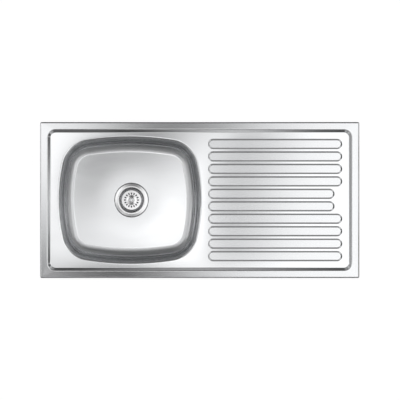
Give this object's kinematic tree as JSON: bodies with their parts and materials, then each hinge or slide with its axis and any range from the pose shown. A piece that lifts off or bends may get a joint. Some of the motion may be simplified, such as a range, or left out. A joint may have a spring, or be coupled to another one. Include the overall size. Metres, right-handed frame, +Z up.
{
  "type": "kitchen sink",
  "caption": "Inset stainless steel kitchen sink with a deep bowl beside a ribbed drainboard, a basket-strainer waste and swing-out fixing clips under its raised border.",
  "frame": {"origin": "middle of the sink in plan, at the level of the worktop that the rim lies on", "axes": "+X from the bowl to the drainboard, +Y to the back, +Z up out of the bowl"},
  "size_m": [0.94, 0.46, 0.3253],
  "materials": {
    "stainless_sheet": "satin, drawn and lightly polished",
    "stainless_waste": "bright, pressed and turned",
    "zinc_plated_steel": "bright zinc plating",
    "black_rubber": "moulded, matt",
    "grey_foam": "closed-cell foam tape",
    "sound_pad": "heavy damping sheet",
    "white_plastic": "moulded, matt"
  },
  "bodies": {
    "sink": {"drainboard_top": "stainless_sheet", "bowl": "stainless_sheet", "rim_seal": "grey_foam", "sound_pads": "sound_pad", "clip_brackets": "zinc_plated_steel", "clip_nuts": "zinc_plated_steel", "strainer_body": "stainless_waste", "flange_seal": "black_rubber", "lower_gasket": "black_rubber", "friction_ring": "zinc_plated_steel", "lock_nut": "white_plastic", "tailpiece": "stainless_waste", "tail_washer": "black_rubber", "coupling_nut": "white_plastic"},
    "stopper_stem": {"basket_knob": "stainless_waste", "stopper_spacer": "stainless_waste", "stopper": "black_rubber", "stopper_washer": "stainless_waste", "stopper_nut": "stainless_waste"},
    "strainer_basket": {"basket": "stainless_waste"},
    "screw_front_left": {"clip_screw_front_left": "zinc_plated_steel"},
    "claw_front_left": {"clip_claw_front_left": "zinc_plated_steel"},
    "screw_front_middle": {"clip_screw_front_middle": "zinc_plated_steel"},
    "claw_front_middle": {"clip_claw_front_middle": "zinc_plated_steel"},
    "screw_front_right": {"clip_screw_front_right": "zinc_plated_steel"},
    "claw_front_right": {"clip_claw_front_right": "zinc_plated_steel"},
    "screw_back_left": {"clip_screw_back_left": "zinc_plated_steel"},
    "claw_back_left": {"clip_claw_back_left": "zinc_plated_steel"},
    "screw_back_middle": {"clip_screw_back_middle": "zinc_plated_steel"},
    "claw_back_middle": {"clip_claw_back_middle": "zinc_plated_steel"},
    "screw_back_right": {"clip_screw_back_right": "zinc_plated_steel"},
    "claw_back_right": {"clip_claw_back_right": "zinc_plated_steel"},
    "screw_left_end": {"clip_screw_left_end": "zinc_plated_steel"},
    "claw_left_end": {"clip_claw_left_end": "zinc_plated_steel"},
    "screw_right_end": {"clip_screw_right_end": "zinc_plated_steel"},
    "claw_right_end": {"clip_claw_right_end": "zinc_plated_steel"}
  },
  "joints": [
    {"name": "basket_lift", "type": "slide", "parent": "sink", "child": "stopper_stem", "axis": [0, 0, 1], "range_m": [0, 0.26]},
    {"name": "basket_turn", "type": "hinge", "parent": "stopper_stem", "child": "strainer_basket", "pos_m": [-0.2018, 0, -0.1845], "axis": [0, 0, 1], "continuous": true},
    {"name": "screw_travel_front_left", "type": "slide", "parent": "sink", "child": "screw_front_left", "axis": [0, 0, 1], "range_m": [0, 0.02]},
    {"name": "claw_swing_front_left", "type": "hinge", "parent": "screw_front_left", "child": "claw_front_left", "pos_m": [-0.33, -0.208, -0.044], "axis": [0, 0, 1], "range_deg": [0, 90]},
    {"name": "screw_travel_front_middle", "type": "slide", "parent": "sink", "child": "screw_front_middle", "axis": [0, 0, 1], "range_m": [0, 0.02]},
    {"name": "claw_swing_front_middle", "type": "hinge", "parent": "screw_front_middle", "child": "claw_front_middle", "pos_m": [0, -0.208, -0.044], "axis": [0, 0, 1], "range_deg": [0, 90]},
    {"name": "screw_travel_front_right", "type": "slide", "parent": "sink", "child": "screw_front_right", "axis": [0, 0, 1], "range_m": [0, 0.02]},
    {"name": "claw_swing_front_right", "type": "hinge", "parent": "screw_front_right", "child": "claw_front_right", "pos_m": [0.33, -0.208, -0.044], "axis": [0, 0, 1], "range_deg": [0, 90]},
    {"name": "screw_travel_back_left", "type": "slide", "parent": "sink", "child": "screw_back_left", "axis": [0, 0, 1], "range_m": [0, 0.02]},
    {"name": "claw_swing_back_left", "type": "hinge", "parent": "screw_back_left", "child": "claw_back_left", "pos_m": [-0.33, 0.208, -0.044], "axis": [0, 0, 1], "range_deg": [0, 90]},
    {"name": "screw_travel_back_middle", "type": "slide", "parent": "sink", "child": "screw_back_middle", "axis": [0, 0, 1], "range_m": [0, 0.02]},
    {"name": "claw_swing_back_middle", "type": "hinge", "parent": "screw_back_middle", "child": "claw_back_middle", "pos_m": [0, 0.208, -0.044], "axis": [0, 0, 1], "range_deg": [0, 90]},
    {"name": "screw_travel_back_right", "type": "slide", "parent": "sink", "child": "screw_back_right", "axis": [0, 0, 1], "range_m": [0, 0.02]},
    {"name": "claw_swing_back_right", "type": "hinge", "parent": "screw_back_right", "child": "claw_back_right", "pos_m": [0.33, 0.208, -0.044], "axis": [0, 0, 1], "range_deg": [0, 90]},
    {"name": "screw_travel_left_end", "type": "slide", "parent": "sink", "child": "screw_left_end", "axis": [0, 0, 1], "range_m": [0, 0.02]},
    {"name": "claw_swing_left_end", "type": "hinge", "parent": "screw_left_end", "child": "claw_left_end", "pos_m": [-0.448, 0, -0.044], "axis": [0, 0, 1], "range_deg": [0, 90]},
    {"name": "screw_travel_right_end", "type": "slide", "parent": "sink", "child": "screw_right_end", "axis": [0, 0, 1], "range_m": [0, 0.02]},
    {"name": "claw_swing_right_end", "type": "hinge", "parent": "screw_right_end", "child": "claw_right_end", "pos_m": [0.448, 0, -0.044], "axis": [0, 0, 1], "range_deg": [0, 90]}
  ]
}
